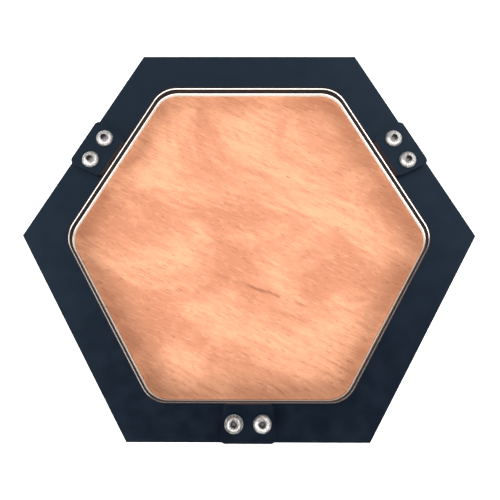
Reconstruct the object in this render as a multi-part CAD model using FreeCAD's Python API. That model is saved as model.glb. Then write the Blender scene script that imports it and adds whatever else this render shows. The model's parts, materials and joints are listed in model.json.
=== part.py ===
import FreeCAD, Part
import math
import os
from FreeCAD import Vector

# Hexagonal folding dice tray: a ring of three 120 degree segments joined by two-pivot links,
# round a lift-out floor board. Millimetres, +Z up, +X to the right, +Y to the back.
# The origin is on the table, under the middle of the hexagon.

# Driving dimensions of the ring
SIDE = 125.0              # outer side of the hexagon
FRAME_WIDTH = 19.3        # outer edge to inner edge, seen from above
SHEET = 3.0               # thickness of the ledge and of each sheet of the liner
LINER_SHEETS = 2          # sheets in the liner: one beside the board, one above it
WALL_THICKNESS = 5.5
RIM_THICKNESS = 1.8
WALL_STEP = 0.3           # how far the wall stands in from the rim above it
LINER_STEP = 0.25         # how far the liner stands in from the wall above it
LEDGE_WIDTH = 7.5         # how far the ledge reaches in from the liner, under the board
CORNER_RADIUS = 15.0      # inner corners of the rim
EDGE_CHAMFER = 0.5        # top inner edge of the wall and of the liner
FOOT_HEIGHT = 6.5

# Floor board
BOARD_THICKNESS = 2.9
BOARD_GAP = 0.25          # round the board
BOARD_SEAT = 0.1          # between the board and the ledge

# Joints between the segments
JOINT_GAP = 0.1           # between the ends of two segments
PIVOT_PITCH = 14.5        # between the two screws of a link
RUNNING_CLEARANCE = 0.05  # radial, barrel nut in segment
WASHER_THICKNESS = 0.3
WASHER_RADIUS = 6.0
WASHER_PLAY = 0.05        # between a washer and the segment

# Link plates
PLATE_THICKNESS = 3.0
PLATE_OUTER_LENGTH = 29.0
PLATE_INNER_LENGTH = 25.6
PLATE_CORNER_RADIUS = 2.75
FIT_CLEARANCE = 0.05      # radial, between fixed pieces

# Fasteners: M5 button-head screws and flanged barrel nuts
SCREW_RADIUS = 2.5
SCREW_HEAD_RADIUS = 4.75
SCREW_HEAD_HEIGHT = 2.75
HEAD_LIP = 0.35           # upright edge at the bottom of the head
HEAD_FLAT_RADIUS = 2.1    # flat round the socket
HEAD_CROWN = 0.4          # how far the dome stands out from a straight cone
SOCKET_ACROSS_FLATS = 3.0
SOCKET_DEPTH = 1.6
SCREW_LENGTH = 10.0       # under the head
BARREL_RADIUS = 3.5
BARREL_FLANGE_RADIUS = 4.75
BARREL_FLANGE = 1.6
CATCH_FLANGE = 0.8        # collar under the catch screw's head
CATCH_HEAD_RADIUS = 3.9
MAGNET_RADIUS = 3.0
MAGNET_HEIGHT = 1.7

# Feet
FOOT_TOP_RADIUS = 6.0
FOOT_BOTTOM_RADIUS = 5.0
FOOT_ROUNDING = 0.8

# Derived places
APOTHEM = SIDE * math.sqrt(3) / 2
CENTRE_LINE = APOTHEM - FRAME_WIDTH / 2       # middle of the frame's width
WALL_INSET = FRAME_WIDTH + WALL_STEP
LINER_INSET = WALL_INSET + LINER_STEP
LEDGE_INSET = LINER_INSET + LEDGE_WIDTH
Z_LEDGE = FOOT_HEIGHT
Z_LINER = Z_LEDGE + SHEET
Z_WALL = Z_LINER + LINER_SHEETS * SHEET
Z_RIM = Z_WALL + WALL_THICKNESS
Z_TOP = Z_RIM + RIM_THICKNESS
PLATE_GAP = WASHER_THICKNESS + WASHER_PLAY
Z_TOP_PLATE = Z_TOP + PLATE_GAP
Z_BOTTOM_PLATE = Z_LEDGE - PLATE_GAP - PLATE_THICKNESS
HALF_PITCH = PIVOT_PITCH / 2
ROLLING_RADIUS = HALF_PITCH - JOINT_GAP / 2   # rounded outer half of a segment's end

CORNER_STEP = 60.0        # degrees from one corner of the hexagon to the next
HALF_STEP = CORNER_STEP / 2
BACK = 90.0               # direction of the back side from the tray's middle, degrees
BACK_JOINTS = {"right": BACK - CORNER_STEP, "left": BACK + CORNER_STEP}
FRONT_JOINT = BACK + 180
SEGMENT_TURN = {"back": 0, "right": -2 * CORNER_STEP, "left": 2 * CORNER_STEP}
UP = Vector(0, 0, 1)
ORIGIN = Vector(0, 0, 0)
TOLERANCE = 1e-4


def polar(radius, degrees, z=0.0):
    angle = math.radians(degrees)
    return Vector(radius * math.cos(angle), radius * math.sin(angle), z)


def cylinder(radius, height, centre):
    return Part.makeCylinder(radius, height, centre, UP)


def hexagon_prism(apothem, corner_radius, z, height):
    """Hexagon with flat sides at the front and back, and rounded corners where a radius is given."""
    corner_distance = apothem / math.cos(math.radians(HALF_STEP))
    edges = []
    if corner_radius == 0:
        corners = [polar(corner_distance, CORNER_STEP * k, z) for k in range(7)]
        edges = [Part.makeLine(a, b) for a, b in zip(corners, corners[1:])]
    else:
        tangent = corner_radius * math.tan(math.radians(HALF_STEP))
        crown = corner_distance - corner_radius / math.cos(math.radians(HALF_STEP)) + corner_radius
        for k in range(6):
            angle = CORNER_STEP * k
            corner = polar(corner_distance, angle, z)
            following = polar(corner_distance, angle + CORNER_STEP, z) + polar(tangent, angle - CORNER_STEP)
            before = corner + polar(tangent, angle - 2 * CORNER_STEP)
            after = corner + polar(tangent, angle + 2 * CORNER_STEP)
            edges.append(Part.Arc(before, polar(crown, angle, z), after).toShape())
            edges.append(Part.makeLine(after, following))
    return Part.Face(Part.Wire(edges)).extrude(UP * height)


def ring(z, height, inset, chamfered=False):
    """One sheet of the whole ring, whose opening stands inset inwards of the outer edge."""
    outer = hexagon_prism(APOTHEM, 0, z, height)
    radius = CORNER_RADIUS - (inset - FRAME_WIDTH)
    opening = hexagon_prism(APOTHEM - inset, radius, z, height)
    sheet = outer.cut(opening)
    if chamfered:
        limit = (APOTHEM - inset) / math.cos(math.radians(HALF_STEP))
        edges = [edge for edge in sheet.Edges if is_inner_top_edge(edge, z + height, limit)]
        sheet = sheet.makeChamfer(EDGE_CHAMFER, edges)
    return sheet


def is_inner_top_edge(edge, top, limit):
    return all(abs(v.Z - top) < TOLERANCE and math.hypot(v.X, v.Y) < limit for v in edge.Vertexes)


def pivot(joint, side, z=0.0):
    """Axis of a pivot: side -1 or 1 is before or after the joint, turning clockwise."""
    return polar(CENTRE_LINE, joint, z) + polar(side * HALF_PITCH, joint - BACK)


def rolling_relief():
    """What is cut from the outer half of a segment's left end, so that it rolls on its neighbour."""
    depth = Z_TOP - Z_LEDGE
    block = Part.makeBox(2 * HALF_PITCH, FRAME_WIDTH, depth, Vector(-HALF_PITCH, 0, Z_LEDGE))
    block = block.cut(cylinder(ROLLING_RADIUS, depth, Vector(HALF_PITCH, 0, Z_LEDGE)))
    block.rotate(ORIGIN, UP, BACK_JOINTS["left"] - BACK)
    block.translate(polar(CENTRE_LINE, BACK_JOINTS["left"]))
    return block


def wedge():
    """The third of the ring between the two back joints, less half a joint gap at each."""
    apex = Vector(0, JOINT_GAP / 2 / math.sin(math.radians(CORNER_STEP)), 0)
    reach = 2 * SIDE
    directions = (BACK_JOINTS["right"], BACK, BACK_JOINTS["left"])
    points = [apex] + [apex + polar(reach, direction) for direction in directions] + [apex]
    return Part.Face(Part.makePolygon(points)).extrude(UP * (Z_TOP + SHEET))


def segment_sheet(sheet, left_end_bored=True):
    """A whole ring sheet cut down to the back segment, with its ends rounded and bored."""
    piece = sheet.common(wedge())
    left_relief = rolling_relief()
    right_relief = left_relief.mirror(ORIGIN, Vector(1, 0, 0))
    piece = piece.cut(left_relief).cut(right_relief)
    bore = BARREL_RADIUS + RUNNING_CLEARANCE
    piece = piece.cut(cylinder(bore, Z_TOP, pivot(BACK_JOINTS["right"], -1)))
    if left_end_bored:
        piece = piece.cut(cylinder(bore, Z_TOP, pivot(BACK_JOINTS["left"], 1)))
    return piece


def foot(place):
    profile = Part.makePolygon([
        Vector(0, 0, 0),
        Vector(FOOT_BOTTOM_RADIUS - FOOT_ROUNDING, 0, 0),
        Vector(FOOT_BOTTOM_RADIUS, 0, FOOT_ROUNDING),
        Vector(FOOT_TOP_RADIUS, 0, FOOT_HEIGHT),
        Vector(0, 0, FOOT_HEIGHT),
        Vector(0, 0, 0),
    ])
    body = Part.Face(profile).revolve(ORIGIN, UP, 360)
    body.translate(place)
    return body


def feet():
    """The back segment's two feet, under its corners."""
    corner_distance = CENTRE_LINE / math.cos(math.radians(HALF_STEP))
    corners = (BACK - HALF_STEP, BACK + HALF_STEP)
    return Part.Compound([foot(polar(corner_distance, angle)) for angle in corners])


def segment(name):
    """The sheets and feet of one segment."""
    left_end_bored = name != "left"
    pieces = {
        "rim": segment_sheet(ring(Z_RIM, RIM_THICKNESS, FRAME_WIDTH), left_end_bored),
        "wall": segment_sheet(ring(Z_WALL, WALL_THICKNESS, WALL_INSET, True), left_end_bored),
        "liner": segment_sheet(ring(Z_LINER, LINER_SHEETS * SHEET, LINER_INSET, True), left_end_bored),
        "ledge": segment_sheet(ring(Z_LEDGE, SHEET, LEDGE_INSET), left_end_bored),
        "feet": feet(),
    }
    if not left_end_bored:
        catch = pivot(BACK_JOINTS["left"], 1, Z_RIM)
        pocket = cylinder(MAGNET_RADIUS + FIT_CLEARANCE, RIM_THICKNESS, catch)
        pieces["rim"] = pieces["rim"].cut(pocket)
        pieces["catch_magnet"] = cylinder(MAGNET_RADIUS, MAGNET_HEIGHT, catch)
    for piece in pieces.values():
        piece.rotate(ORIGIN, UP, SEGMENT_TURN[name])
    return {f"{name}_{part}": piece for part, piece in pieces.items()}


def link_plate(joint, z, holes):
    """A tapered plate across a joint, with holes as (side, radius)."""
    outer, inner = PLATE_OUTER_LENGTH / 2, PLATE_INNER_LENGTH / 2
    half_width = FRAME_WIDTH / 2
    corners = [
        Vector(-inner, -half_width, 0),
        Vector(inner, -half_width, 0),
        Vector(outer, half_width, 0),
        Vector(-outer, half_width, 0),
        Vector(-inner, -half_width, 0),
    ]
    plate = Part.Face(Part.makePolygon(corners)).extrude(UP * PLATE_THICKNESS)
    upright = [edge for edge in plate.Edges if abs(edge.Vertexes[0].Z - edge.Vertexes[1].Z) > TOLERANCE]
    plate = plate.makeFillet(PLATE_CORNER_RADIUS, upright)
    plate.rotate(ORIGIN, UP, joint - BACK)
    plate.translate(polar(CENTRE_LINE, joint, z))
    for side, radius in holes:
        plate = plate.cut(cylinder(radius, PLATE_THICKNESS, pivot(joint, side, z)))
    return plate


def domed_head(radius, height):
    """A button head on z = 0, with its hexagon socket."""
    lip, flat, top = Vector(radius, 0, HEAD_LIP), Vector(HEAD_FLAT_RADIUS, 0, height), Vector(0, 0, height)
    shoulder = Vector((radius + HEAD_FLAT_RADIUS) / 2, 0, (HEAD_LIP + height) / 2)
    bulge = Vector(height - HEAD_LIP, 0, radius - HEAD_FLAT_RADIUS).normalize() * HEAD_CROWN
    profile = Part.Wire([
        Part.makeLine(ORIGIN, Vector(radius, 0, 0)),
        Part.makeLine(Vector(radius, 0, 0), lip),
        Part.Arc(lip, shoulder + bulge, flat).toShape(),
        Part.makeLine(flat, top),
        Part.makeLine(top, ORIGIN),
    ])
    head = Part.Face(profile).revolve(ORIGIN, UP, 360)
    socket = hexagon_prism(SOCKET_ACROSS_FLATS / 2, 0, height - SOCKET_DEPTH, SOCKET_DEPTH)
    return head.cut(socket)


def screw(place):
    body = domed_head(SCREW_HEAD_RADIUS, SCREW_HEAD_HEIGHT)
    body = body.fuse(cylinder(SCREW_RADIUS, SCREW_LENGTH, Vector(0, 0, -SCREW_LENGTH)))
    body.translate(place)
    return body


def catch_screw(place):
    """The short screw over the magnet, with a collar under its head."""
    head = domed_head(CATCH_HEAD_RADIUS, SCREW_HEAD_HEIGHT - CATCH_FLANGE)
    head.translate(UP * CATCH_FLANGE)
    body = head.fuse(cylinder(SCREW_HEAD_RADIUS, CATCH_FLANGE, ORIGIN))
    body = body.fuse(cylinder(SCREW_RADIUS, PLATE_THICKNESS, Vector(0, 0, -PLATE_THICKNESS)))
    body.translate(place)
    return body


def barrel_nut(place):
    """Flanged barrel from below the bottom plate up to the top plate."""
    length = Z_TOP_PLATE - Z_BOTTOM_PLATE
    body = cylinder(BARREL_RADIUS, length, ORIGIN)
    body = body.fuse(cylinder(BARREL_FLANGE_RADIUS, BARREL_FLANGE, Vector(0, 0, -BARREL_FLANGE)))
    thread = cylinder(SCREW_RADIUS + FIT_CLEARANCE, length, ORIGIN)
    body = body.cut(thread)
    body.translate(place)
    return body


def washer(place):
    body = cylinder(WASHER_RADIUS, WASHER_THICKNESS, place)
    return body.cut(cylinder(BARREL_RADIUS + FIT_CLEARANCE, WASHER_THICKNESS, place))


def link(name, joint, sides):
    """Plates, screws, barrel nuts and washers of one link, with pivots on the given sides."""
    top_holes = [(side, SCREW_RADIUS + FIT_CLEARANCE) for side in (-1, 1)]
    bottom_holes = [(side, BARREL_RADIUS + FIT_CLEARANCE) for side in sides]
    z_head = Z_TOP_PLATE + PLATE_THICKNESS
    z_washers = (Z_TOP_PLATE - WASHER_THICKNESS, Z_BOTTOM_PLATE + PLATE_THICKNESS)
    pieces = {
        "top_plate": link_plate(joint, Z_TOP_PLATE, top_holes),
        "bottom_plate": link_plate(joint, Z_BOTTOM_PLATE, bottom_holes),
        "screws": Part.Compound([screw(pivot(joint, side, z_head)) for side in sides]),
        "barrel_nuts": Part.Compound([barrel_nut(pivot(joint, side, Z_BOTTOM_PLATE)) for side in sides]),
        "washers": Part.Compound([washer(pivot(joint, side, z)) for side in sides for z in z_washers]),
    }
    if len(sides) == 1:
        pieces["catch_screw"] = catch_screw(pivot(joint, -sides[0], z_head))
    return {f"{name}_link_{part}": piece for part, piece in pieces.items()}


def floor_board():
    inset = LINER_INSET + BOARD_GAP
    radius = CORNER_RADIUS - (inset - FRAME_WIDTH)
    return hexagon_prism(APOTHEM - inset, radius, Z_LINER + BOARD_SEAT, BOARD_THICKNESS)


def build():
    nodes = {}
    for name in SEGMENT_TURN:
        nodes.update(segment(name))
    for name, joint in BACK_JOINTS.items():
        nodes.update(link(name, joint, (-1, 1)))
    nodes.update(link("front", FRONT_JOINT, (-1,)))
    nodes["floor_board"] = floor_board()
    return nodes


os.makedirs("parts", exist_ok=True)
for node, shape in build().items():
    if not shape.isValid():
        raise ValueError(f"{node} is not a valid shape")
    shape.exportStep(f"parts/{node}.step")
    print(f"{node}: {len(shape.Solids)} solid(s), {shape.Volume:.1f} mm3")
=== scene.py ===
import bmesh
import bpy
import json
import math
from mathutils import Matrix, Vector


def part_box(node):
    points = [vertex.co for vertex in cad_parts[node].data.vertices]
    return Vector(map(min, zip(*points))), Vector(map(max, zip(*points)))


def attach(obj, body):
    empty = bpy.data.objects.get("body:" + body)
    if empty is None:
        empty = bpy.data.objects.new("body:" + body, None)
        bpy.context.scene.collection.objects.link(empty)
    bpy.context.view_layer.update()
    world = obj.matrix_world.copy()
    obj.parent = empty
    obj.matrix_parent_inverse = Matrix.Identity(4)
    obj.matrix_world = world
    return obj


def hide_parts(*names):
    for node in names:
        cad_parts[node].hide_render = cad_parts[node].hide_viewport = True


# Hexagonal folding dice tray. Metres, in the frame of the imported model.

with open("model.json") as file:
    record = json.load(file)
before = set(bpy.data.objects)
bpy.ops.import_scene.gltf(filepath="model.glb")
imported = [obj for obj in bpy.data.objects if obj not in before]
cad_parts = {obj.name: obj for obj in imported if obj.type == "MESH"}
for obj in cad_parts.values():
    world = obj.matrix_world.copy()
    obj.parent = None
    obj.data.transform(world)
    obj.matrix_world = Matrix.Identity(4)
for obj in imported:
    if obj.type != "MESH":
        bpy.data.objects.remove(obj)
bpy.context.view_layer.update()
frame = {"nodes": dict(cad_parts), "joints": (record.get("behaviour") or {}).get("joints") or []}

MM = 0.001

# Camera, above the tray and a little in front of its middle
EYE_OFFSET = (1.8 * MM, -54.8 * MM)      # from the tray's middle
EYE_HEIGHT = 259.4 * MM                  # above the frame's top face
EYE_TURN = (10.23, 0.21, 0.14)           # degrees
LENS_MM = 34.56
SENSOR_MM = 36.0

# Strength of the room's light by its direction: height is 0 at the horizon and 1 overhead.
# The ceiling's height is measured from a point leant a little to the front of overhead.
CEILING_LEAN = math.radians(8)
CEILING = (0.87, 0.98, 0.72, 0.02)        # from this height to that one, from this strength to that one
HORIZON = (0.24, 0.36, 0.35, 1.0)        # dims the ceiling's light near the horizon
GLOW = 1.0                               # added all round, where the heights below rise and fall
GLOW_HEIGHTS = (0.30, 0.40, 0.55, 0.72)
FRONT_GLOW = 2.5                         # the same, added over the front half
FRONT_HEIGHTS = (0.22, 0.34, 0.62, 0.75)
FLOOR_GLOW = 0.8

VEIN_SHIFT = (-16.6 * MM, 26.8 * MM)     # brings the middle of the board's dark vein to zero, once turned

# Screw heads: sizes the CAD heads also have
HEAD_HEIGHT = 2.75 * MM
HEAD_FLAT = 2.1 * MM
SOCKET_RADIUS = 1.5 * MM / math.cos(math.radians(30))
SOCKET_DEPTH = 1.6 * MM
SOCKET_POINT = 0.5 * MM                  # drill point below the socket
SOCKET_BEVEL = 0.15 * MM
HEAD_EDGE = 0.12 * MM                    # rounding of the lip
HEAD_LIP = 0.35 * MM                     # upright edge under the dome
HEAD_CROWN = 0.4 * MM                    # how far the dome stands out from a cone
SHANK_RADIUS = 2.5 * MM
CATCH_COLLAR = 0.8 * MM                  # height of the collar under the catch screw's head
CATCH_HEAD_RADIUS = 3.9 * MM
TURNS = 72                               # facets round a head, a multiple of six
DOME_STEPS = 14
SCREW_TURN = 23                          # degrees from one screw's socket to the next
CATCH_TURN = 11

# Materials: how far the layers of colour go
CHAMFER_METAL = 0.9
CHAMFER_SMOOTHER = 0.36                  # taken off the cut edges' roughness
GRAIN_TURN = math.radians(27)            # the board's grain runs down to the right
VEIN_TURN = math.radians(17)
VEIN_WANDER = 16 * MM
PLIES = 3
CORE_SHADE = 0.6
# how far the screws' sockets are darkened with painted shade
SOCKET_PAINTED_SHADE = 0.85

# Rounding of the edges of the CAD pieces
SHEET_EDGE = 0.12 * MM
SMALL_EDGE = 0.15 * MM                   # plates, barrel nuts, magnet
FOOT_EDGE = 0.4 * MM
BOARD_EDGE = 0.25 * MM

STAGE_HALF = 3.0
LAMP_SIZE = (1.0, 0.7)
KEY = ((-0.9, -0.2, 0.6), 4.5)           # place and watts
FILL = ((0.8, 0.5, 0.6), 3.0)


# ---------------------------------------------------------------- materials

RAMP_KEYS = ("From Min", "From Max", "To Min", "To Max")


class Tree:
    """A new material's node tree, with short calls for the nodes used here."""

    def __init__(self, name):
        self.material = bpy.data.materials.new(name)
        self.material.use_nodes = True
        self.tree = self.material.node_tree
        self.shader = self.tree.nodes["Principled BSDF"]
        self.place = self.add("ShaderNodeTexCoord").outputs["Object"]

    def add(self, kind, **settings):
        node = self.tree.nodes.new(kind)
        for key, value in settings.items():
            setattr(node, key, value)
        return node

    def link(self, value, socket):
        if isinstance(value, bpy.types.NodeSocket):
            self.tree.links.new(value, socket)
        else:
            socket.default_value = value

    def set(self, **inputs):
        for key, value in inputs.items():
            self.link(value, self.shader.inputs[key.replace("_", " ")])

    def maths(self, operation, a, b=0.0):
        node = self.add("ShaderNodeMath", operation=operation)
        self.link(a, node.inputs[0])
        self.link(b, node.inputs[1])
        return node.outputs[0]

    def mapped(self, turn=0.0, scale=(1, 1, 1), shift=(0, 0, 0)):
        """Object coordinates turned about Z, then scaled."""
        turned = self.add("ShaderNodeMapping")
        self.link(self.place, turned.inputs["Vector"])
        turned.inputs["Rotation"].default_value = (0, 0, turn)
        scaled = self.add("ShaderNodeMapping")
        self.link(turned.outputs[0], scaled.inputs["Vector"])
        scaled.inputs["Scale"].default_value = scale
        scaled.inputs["Location"].default_value = shift
        return scaled.outputs[0]

    def noise(self, vector, scale, detail=4.0, roughness=0.5, distortion=0.0):
        node = self.add("ShaderNodeTexNoise")
        self.link(vector, node.inputs["Vector"])
        node.inputs["Scale"].default_value = scale
        node.inputs["Detail"].default_value = detail
        node.inputs["Roughness"].default_value = roughness
        node.inputs["Distortion"].default_value = distortion
        return node.outputs["Fac"]

    def ramp(self, value, low, high, out_low=0.0, out_high=1.0):
        node = self.add("ShaderNodeMapRange", interpolation_type="SMOOTHSTEP")
        self.link(value, node.inputs["Value"])
        for key, number in zip(RAMP_KEYS, (low, high, out_low, out_high)):
            self.link(number, node.inputs[key])
        return node.outputs["Result"]

    def mix(self, factor, a, b, blend="MIX"):
        node = self.add("ShaderNodeMix", data_type="RGBA", blend_type=blend)
        self.link(factor, node.inputs["Factor"])
        self.link(a, node.inputs[6])
        self.link(b, node.inputs[7])
        return node.outputs[2]

    def bump(self, height, distance, strength=1.0, under=None):
        node = self.add("ShaderNodeBump")
        self.link(height, node.inputs["Height"])
        node.inputs["Distance"].default_value = distance
        node.inputs["Strength"].default_value = strength
        if under is not None:
            self.link(under, node.inputs["Normal"])
        return node.outputs["Normal"]


def colour(red, green, blue):
    """Linear colour from 0 to 255 display values."""
    def linear(value):
        value /= 255
        return value / 12.92 if value <= 0.04045 else ((value + 0.055) / 1.055) ** 2.4
    return (linear(red), linear(green), linear(blue), 1.0)


def sheet_material(liner_low, liner_high):
    """Dark blue-black sheet: satin faces, matt cut edges, bright chamfers, and a pale
    inner edge between the heights liner_low and liner_high."""
    t = Tree("frame_sheet")
    normal = t.add("ShaderNodeSeparateXYZ")
    t.link(t.add("ShaderNodeTexCoord").outputs["Normal"], normal.inputs[0])
    place = t.add("ShaderNodeSeparateXYZ")
    t.link(t.place, place.inputs[0])
    upward = t.maths("ABSOLUTE", normal.outputs["Z"])
    face = t.ramp(upward, 0.86, 0.96)
    not_face = t.maths("SUBTRACT", 1.0, t.ramp(upward, 0.75, 0.86))
    chamfer = t.maths("MULTIPLY", t.ramp(upward, 0.55, 0.66), not_face)
    across = t.maths("MULTIPLY", normal.outputs["X"], place.outputs["X"])
    along = t.maths("MULTIPLY", normal.outputs["Y"], place.outputs["Y"])
    inward = t.ramp(t.maths("ADD", across, along), -0.075, -0.05, 1.0, 0.0)
    above_ledge = t.maths("GREATER_THAN", place.outputs["Z"], liner_low)
    below_wall = t.maths("LESS_THAN", place.outputs["Z"], liner_high)
    pale = t.maths("MULTIPLY", inward, t.maths("MULTIPLY", above_ledge, below_wall))
    cloud = t.noise(t.place, 35.0, 3.0)
    grain = t.noise(t.place, 2600.0, 2.0, 0.6)
    lines = t.noise(t.mapped(scale=(1, 1, 0.02)), 1500.0, 2.0)
    face_colour = t.mix(cloud, colour(4, 8, 17), colour(7, 11, 23))
    face_colour = t.mix(t.ramp(grain, 0.55, 0.8, 0.0, 0.35), face_colour, colour(34, 41, 53))
    edge_colour = t.mix(cloud, colour(4, 4, 6), colour(9, 9, 11))
    pale_colour = t.mix(lines, colour(206, 190, 172), colour(236, 226, 212))
    edge_colour = t.mix(pale, edge_colour, pale_colour)
    edge_colour = t.mix(chamfer, edge_colour, colour(188, 186, 182))
    t.set(Base_Color=t.mix(face, edge_colour, face_colour))
    t.set(Metallic=t.maths("MULTIPLY", chamfer, CHAMFER_METAL))
    face_rough = t.ramp(t.noise(t.place, 120.0, 5.0), 0.3, 0.7, 0.31, 0.39)
    edge_rough = t.ramp(t.noise(t.place, 300.0, 3.0), 0.3, 0.7, 0.50, 0.62)
    edge_rough = t.maths("SUBTRACT", edge_rough, t.maths("MULTIPLY", chamfer, CHAMFER_SMOOTHER))
    rough = t.add("ShaderNodeMix", data_type="FLOAT")
    t.link(face, rough.inputs[0])
    t.link(edge_rough, rough.inputs[2])
    t.link(face_rough, rough.inputs[3])
    t.set(Roughness=rough.outputs[0])
    t.set(Specular_Tint=(0.46, 0.72, 1.0, 1.0), Specular_IOR_Level=0.5)
    cut = t.maths("MULTIPLY", lines, t.maths("SUBTRACT", 1.0, face))
    fine = t.maths("MULTIPLY", grain, face)
    t.set(Normal=t.bump(fine, 0.02 * MM, 0.5, t.bump(cut, 0.02 * MM, 0.6)))
    return t.material


def vein(t, wander, breaks):
    """Share of the dark broken vein that crosses the board in front of its middle."""
    along = t.add("ShaderNodeSeparateXYZ")
    t.link(t.mapped(VEIN_TURN, (1, 1, 1), (*VEIN_SHIFT, 0)), along.inputs[0])
    off_line = t.maths("MULTIPLY", t.maths("SUBTRACT", wander, 0.5), VEIN_WANDER)
    across = t.maths("ABSOLUTE", t.maths("ADD", along.outputs["Y"], off_line))
    narrow = t.ramp(across, 0.3 * MM, 1.6 * MM, 1.0, 0.0)
    ends = t.ramp(t.maths("ABSOLUTE", along.outputs["X"]), 14 * MM, 34 * MM, 1.0, 0.0)
    broken = t.ramp(breaks, 0.40, 0.58, 0.05, 0.75)
    return t.maths("MULTIPLY", t.maths("MULTIPLY", narrow, ends), broken)


def wood_material(board_low, board_high):
    """Peach plywood: cloudy figure, streaks and short pores that run down to the right, plies at the edge."""
    t = Tree("wood")
    figure = t.noise(t.mapped(GRAIN_TURN, (0.5, 1, 1)), 24.0, 5.0, 0.6, 0.8)
    streak = t.noise(t.mapped(GRAIN_TURN, (0.16, 1, 1)), 330.0, 6.0, 0.65, 0.5)
    fleck = t.noise(t.mapped(GRAIN_TURN, (0.22, 1, 1)), 800.0, 4.0, 0.6, 0.4)
    pores = t.noise(t.mapped(GRAIN_TURN, (0.17, 1, 1), (3, 5, 1)), 1250.0, 3.0, 0.6, 0.5)
    speck = t.noise(t.mapped(GRAIN_TURN + 0.2, (0.4, 1, 1)), 2300.0, 2.0, 0.5)
    tone = t.mix(t.ramp(figure, 0.38, 0.62), colour(199, 131, 96), colour(236, 167, 128))
    tone = t.mix(t.ramp(streak, 0.42, 0.68, 0.0, 0.55), tone, colour(197, 126, 91))
    tone = t.mix(t.ramp(fleck, 0.52, 0.72, 0.0, 0.40), tone, colour(246, 184, 146))
    tone = t.mix(t.ramp(speck, 0.55, 0.75, 0.0, 0.45), tone, colour(186, 118, 84))
    tone = t.mix(t.ramp(pores, 0.56, 0.70, 0.0, 0.55), tone, colour(158, 96, 66))
    tone = t.mix(vein(t, figure, streak), tone, colour(150, 90, 62))
    height = t.add("ShaderNodeSeparateXYZ")
    t.link(t.place, height.inputs[0])
    layer = (board_high - board_low) / PLIES
    middle = t.maths("ABSOLUTE", t.maths("SUBTRACT", height.outputs["Z"], (board_low + board_high) / 2))
    core = t.maths("LESS_THAN", middle, layer / 2)
    tone = t.mix(t.maths("MULTIPLY", core, CORE_SHADE), tone, colour(176, 118, 84))
    t.set(Base_Color=tone)
    t.set(Roughness=t.ramp(streak, 0.3, 0.7, 0.50, 0.62))
    relief = t.maths("SUBTRACT", streak, t.ramp(pores, 0.58, 0.74))
    t.set(Normal=t.bump(relief, 0.05 * MM, 0.5))
    return t.material


def steel_material():
    """Turned stainless steel: fine rings round each screw's axis, handling marks, and painted shade darkening
    each socket.
    """
    t = Tree("steel")
    apart = t.add("ShaderNodeSeparateXYZ")
    t.link(t.place, apart.inputs[0])
    square_x = t.maths("POWER", apart.outputs["X"], 2.0)
    square = t.maths("ADD", square_x, t.maths("POWER", apart.outputs["Y"], 2.0))
    radius = t.maths("SQRT", square)
    rings_at = t.add("ShaderNodeCombineXYZ")
    t.link(radius, rings_at.inputs[0])
    rings = t.noise(rings_at.outputs[0], 6000.0, 3.0, 0.6)
    marks = t.noise(t.mapped(0.4, (1, 0.2, 1)), 1800.0, 3.0, 0.6)
    # Painted shade: each socket is darkened in a ring towards its wall and left lighter at its middle, in
    # place of the shade in the hollow.
    socket = t.ramp(radius, 1.55 * MM, 1.75 * MM, 1.0, 0.0)
    painted_socket_shade = t.maths("MULTIPLY", t.ramp(radius, 0.3 * MM, 1.0 * MM), socket)
    bright = t.mix(t.ramp(marks, 0.35, 0.65), colour(142, 139, 138), colour(206, 203, 201))
    t.set(Base_Color=t.mix(t.maths("MULTIPLY", painted_socket_shade, SOCKET_PAINTED_SHADE), bright, colour(64, 60, 62)))
    t.set(Metallic=1.0)
    t.set(Roughness=t.ramp(t.maths("ADD", rings, marks), 0.7, 1.3, 0.34, 0.50))
    t.set(Normal=t.bump(rings, 0.02 * MM, 0.35))
    return t.material


def plain_material(name, dark, light, scale, rough, metallic=0.0, relief=0.02):
    """A grained material between two colours, with roughness from low to high."""
    t = Tree(name)
    grain = t.noise(t.place, scale, 4.0, 0.6)
    t.set(Base_Color=t.mix(t.ramp(grain, 0.3, 0.7), colour(*dark), colour(*light)))
    t.set(Metallic=metallic)
    t.set(Roughness=t.ramp(t.noise(t.place, scale / 3, 3.0), 0.3, 0.7, *rough))
    t.set(Normal=t.bump(grain, relief * MM, 0.5))
    return t.material


# ---------------------------------------------------------------- pieces

def new_object(name, mesh, place=(0, 0, 0)):
    piece = bpy.data.objects.new(name, mesh)
    piece.location = place
    bpy.context.scene.collection.objects.link(piece)
    return piece


def soften(piece, width, segments=2):
    """Rounds sharp edges a little."""
    bevel = piece.modifiers.new("eased", "BEVEL")
    bevel.width = width
    bevel.segments = segments
    bevel.limit_method = "ANGLE"
    bevel.angle_limit = math.radians(35)
    bevel.miter_outer = "MITER_ARC"


def dress(material, *nodes):
    for name in nodes:
        mesh = frame["nodes"][name].data
        mesh.materials.clear()
        mesh.materials.append(material)


def head_profile(radius, height, lip, low):
    """(radius, z) points from the bottom of the lip up over the dome to the flat."""
    points = [(radius, low), (radius, low + lip - HEAD_EDGE)]
    chord = Vector((HEAD_FLAT - radius, height - lip))
    out = Vector((chord.y, -chord.x)).normalized()
    for k in range(DOME_STEPS + 1):
        share = k / DOME_STEPS
        bulge = 4 * HEAD_CROWN * share * (1 - share)
        point = Vector((radius, lip)) + chord * share + out * bulge
        points.append((point.x, low + point.y))
    return points


def hexagon_reach(angle, inner):
    """Distance from the axis to a hexagon socket's wall, in a direction."""
    sector = math.radians(60)
    across = (angle % sector) - sector / 2
    return inner / math.cos(across)


def add_loops(mesh, loops):
    """Skins a list of closed loops of equal length."""
    rows = [[mesh.verts.new(point) for point in loop] for loop in loops]
    count = len(rows[0])
    for low, high in zip(rows, rows[1:]):
        for k in range(count):
            following = (k + 1) % count
            mesh.faces.new((low[k], low[following], high[following], high[k]))
    return rows


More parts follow.
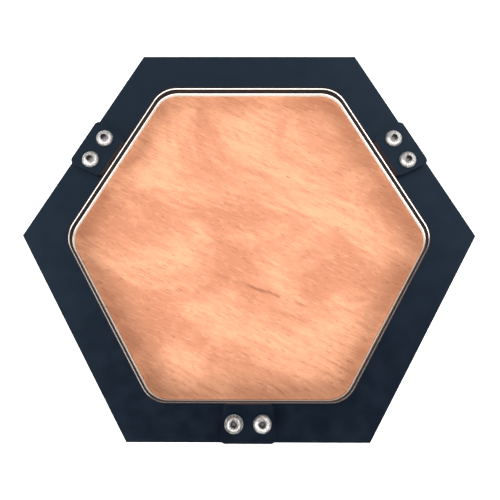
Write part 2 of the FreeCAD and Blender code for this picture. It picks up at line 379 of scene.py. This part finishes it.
def circle(radius, z):
    turns = [2 * math.pi * k / TURNS for k in range(TURNS)]
    return [(radius * math.cos(a), radius * math.sin(a), z) for a in turns]


def hexagon(inner, z):
    turns = [2 * math.pi * k / TURNS for k in range(TURNS)]
    return [(hexagon_reach(a, inner) * math.cos(a), hexagon_reach(a, inner) * math.sin(a), z) for a in turns]


def screw_mesh(name, profile, shank_radius, shank_length):
    """A turned head with a bevelled hexagon socket and a plain shank below z = 0."""
    top = profile[-1][1]
    inner = SOCKET_RADIUS * math.cos(math.radians(30))
    floor = top - SOCKET_DEPTH
    loops = [circle(shank_radius, -shank_length), circle(shank_radius, 0)]
    loops += [circle(radius, z) for radius, z in profile]
    loops += [hexagon(inner + SOCKET_BEVEL, top), hexagon(inner, top - SOCKET_BEVEL), hexagon(inner, floor)]
    loops.append(circle(inner * 0.92, floor))
    loops.append(circle(inner * 0.15, floor - SOCKET_POINT))
    mesh = bmesh.new()
    rows = add_loops(mesh, loops)
    mesh.faces.new(rows[0][::-1])
    mesh.faces.new(rows[-1])
    bmesh.ops.recalc_face_normals(mesh, faces=mesh.faces)
    data = bpy.data.meshes.new(name)
    mesh.to_mesh(data)
    mesh.free()
    for face in data.polygons:
        face.use_smooth = True
    data.set_sharp_from_angle(angle=math.radians(40))
    return data


def joint_axis(name):
    joint = next(j for j in frame["joints"] if j["name"] == name)
    return Vector(joint["pos_m"])


def button_screws(steel):
    """The five button heads."""
    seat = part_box("right_link_top_plate")[1].z
    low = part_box("right_link_screws")[0].z
    head_radius = (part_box("front_link_screws")[1].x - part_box("front_link_screws")[0].x) / 2
    profile = [(head_radius - HEAD_EDGE, 0)] + head_profile(head_radius, HEAD_HEIGHT, HEAD_LIP, 0)
    mesh = screw_mesh("button_screw", profile, SHANK_RADIUS, seat - low)
    mesh.materials.append(steel)
    spots = []
    for side in ("right", "left"):
        for joint in (f"{side}_link_swing", f"{side}_segment_swing"):
            spots.append((f"{side}_link", joint_axis(joint)))
    spots.append(("front_link", joint_axis("front_link_swing")))
    for number, (body, axis) in enumerate(spots):
        piece = new_object(f"button_screw_{number + 1}", mesh, (axis.x, axis.y, seat))
        piece.rotation_euler.z = math.radians(SCREW_TURN * number)
        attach(piece, body)
        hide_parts(f"{body}_screws")


def catch_screw(steel):
    """The collared screw at the catch end of the front link."""
    low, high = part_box("front_link_catch_screw")
    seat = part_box("front_link_top_plate")[1].z
    collar_radius = (high.x - low.x) / 2
    profile = [
        (collar_radius - HEAD_EDGE, 0),
        (collar_radius, HEAD_EDGE),
        (collar_radius, CATCH_COLLAR - HEAD_EDGE),
        (collar_radius - HEAD_EDGE, CATCH_COLLAR),
        (CATCH_HEAD_RADIUS + HEAD_EDGE, CATCH_COLLAR),
    ]
    profile += head_profile(CATCH_HEAD_RADIUS, HEAD_HEIGHT - CATCH_COLLAR, HEAD_LIP, CATCH_COLLAR)
    mesh = screw_mesh("catch_screw", profile, SHANK_RADIUS, seat - low.z)
    mesh.materials.append(steel)
    middle = (low + high) / 2
    piece = new_object("catch_screw", mesh, (middle.x, middle.y, seat))
    piece.rotation_euler.z = math.radians(CATCH_TURN)
    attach(piece, "front_link")
    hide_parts("front_link_catch_screw")


def dress_frame():
    """Materials and eased edges for the CAD pieces that stay."""
    sheet = sheet_material(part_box("back_liner")[0].z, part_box("back_liner")[1].z)
    board_low, board_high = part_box("floor_board")
    steel = steel_material()
    washer = plain_material("washer", (196, 196, 190), (222, 221, 214), 900.0, (0.45, 0.6))
    magnet = plain_material("magnet", (150, 150, 152), (190, 189, 188), 700.0, (0.2, 0.35), 1.0)
    rubber = plain_material("foot_rubber", (26, 26, 27), (44, 44, 45), 1100.0, (0.7, 0.85), 0.0, 0.05)
    for side in ("back", "right", "left"):
        for part in ("rim", "wall", "liner", "ledge"):
            dress(sheet, f"{side}_{part}")
            soften(frame["nodes"][f"{side}_{part}"], SHEET_EDGE)
        dress(rubber, f"{side}_feet")
        soften(frame["nodes"][f"{side}_feet"], FOOT_EDGE, 3)
    for link in ("right_link", "left_link", "front_link"):
        for part in ("top_plate", "bottom_plate"):
            dress(sheet, f"{link}_{part}")
            soften(frame["nodes"][f"{link}_{part}"], SMALL_EDGE)
        dress(steel, f"{link}_barrel_nuts")
        soften(frame["nodes"][f"{link}_barrel_nuts"], SMALL_EDGE)
        dress(washer, f"{link}_washers")
    dress(magnet, "left_catch_magnet")
    soften(frame["nodes"]["left_catch_magnet"], SMALL_EDGE)
    dress(wood_material(board_low.z, board_high.z), "floor_board")
    soften(frame["nodes"]["floor_board"], BOARD_EDGE)
    button_screws(steel)
    catch_screw(steel)


# ---------------------------------------------------------------- stage

def area_light(name, place, power):
    """A soft rectangular light aimed at the tray's middle."""
    light = bpy.data.lights.new(name, "AREA")
    light.shape = "RECTANGLE"
    light.size, light.size_y = LAMP_SIZE
    light.energy = power
    lamp = bpy.data.objects.new(name, light)
    lamp.location = place
    lamp.rotation_euler = (-Vector(place)).to_track_quat("-Z", "Y").to_euler()
    bpy.context.scene.collection.objects.link(lamp)


def make_world():
    """A pale room: bright round the sides, dim straight overhead, brightest at the front."""
    world = bpy.data.worlds.new("studio")
    world.use_nodes = True
    tree = world.node_tree
    coordinates = tree.nodes.new("ShaderNodeTexCoord").outputs["Generated"]
    split = tree.nodes.new("ShaderNodeSeparateXYZ")
    tree.links.new(coordinates, split.inputs[0])

    def ramp(value, low, high, out_low, out_high):
        node = tree.nodes.new("ShaderNodeMapRange")
        node.interpolation_type = "SMOOTHSTEP"
        tree.links.new(value, node.inputs["Value"])
        for key, number in zip(RAMP_KEYS, (low, high, out_low, out_high)):
            node.inputs[key].default_value = number
        return node.outputs["Result"]

    def maths(operation, a, b):
        node = tree.nodes.new("ShaderNodeMath")
        node.operation = operation
        tree.links.new(a, node.inputs[0])
        tree.links.new(b, node.inputs[1])
        return node.outputs[0]

    def band(strength, heights):
        return maths("MULTIPLY", ramp(up, *heights[:2], 0, strength), ramp(up, *heights[2:], 1, 0))

    back, up = split.outputs["Y"], split.outputs["Z"]
    lean = tree.nodes.new("ShaderNodeVectorRotate")
    lean.rotation_type = "X_AXIS"
    lean.inputs["Angle"].default_value = -CEILING_LEAN
    tree.links.new(coordinates, lean.inputs["Vector"])
    leant = tree.nodes.new("ShaderNodeSeparateXYZ")
    tree.links.new(lean.outputs[0], leant.inputs[0])
    ceiling = maths("MULTIPLY", ramp(leant.outputs["Z"], *CEILING), ramp(up, *HORIZON))
    front = maths("MULTIPLY", band(FRONT_GLOW, FRONT_HEIGHTS), ramp(back, -0.25, -0.05, 1, 0))
    strength = maths("ADD", maths("ADD", ceiling, band(GLOW, GLOW_HEIGHTS)), front)
    tree.nodes["Background"].inputs["Color"].default_value = (1, 1, 1, 1)
    tree.links.new(strength, tree.nodes["Background"].inputs["Strength"])
    bpy.context.scene.world = world


def make_stage():
    half = STAGE_HALF
    corners = [(-half, -half, 0), (half, -half, 0), (half, half, 0), (-half, half, 0)]
    mesh = bpy.data.meshes.new("floor")
    mesh.from_pydata(corners, [], [(0, 1, 2, 3)])
    paint = plain_material("floor_paint", (250, 250, 250), (254, 254, 254), 60.0, (0.8, 0.9))
    shader = paint.node_tree.nodes["Principled BSDF"]
    shader.inputs["Emission Color"].default_value = (1, 1, 1, 1)
    shader.inputs["Emission Strength"].default_value = FLOOR_GLOW
    mesh.materials.append(paint)
    floor = new_object("floor", mesh)
    make_world()
    area_light("key", *KEY)
    area_light("fill", *FILL)
    bpy.context.scene.view_settings.view_transform = "Standard"


def make_camera():
    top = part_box("back_rim")[1].z
    data = bpy.data.cameras.new("camera")
    data.lens = LENS_MM
    data.sensor_width = SENSOR_MM
    data.clip_start = 0.01
    camera = bpy.data.objects.new("camera", data)
    camera.location = (EYE_OFFSET[0], EYE_OFFSET[1], top + EYE_HEIGHT)
    camera.rotation_euler = [math.radians(turn) for turn in EYE_TURN]
    bpy.context.scene.collection.objects.link(camera)
    bpy.context.scene.camera = camera


make_stage()
make_camera()
dress_frame()
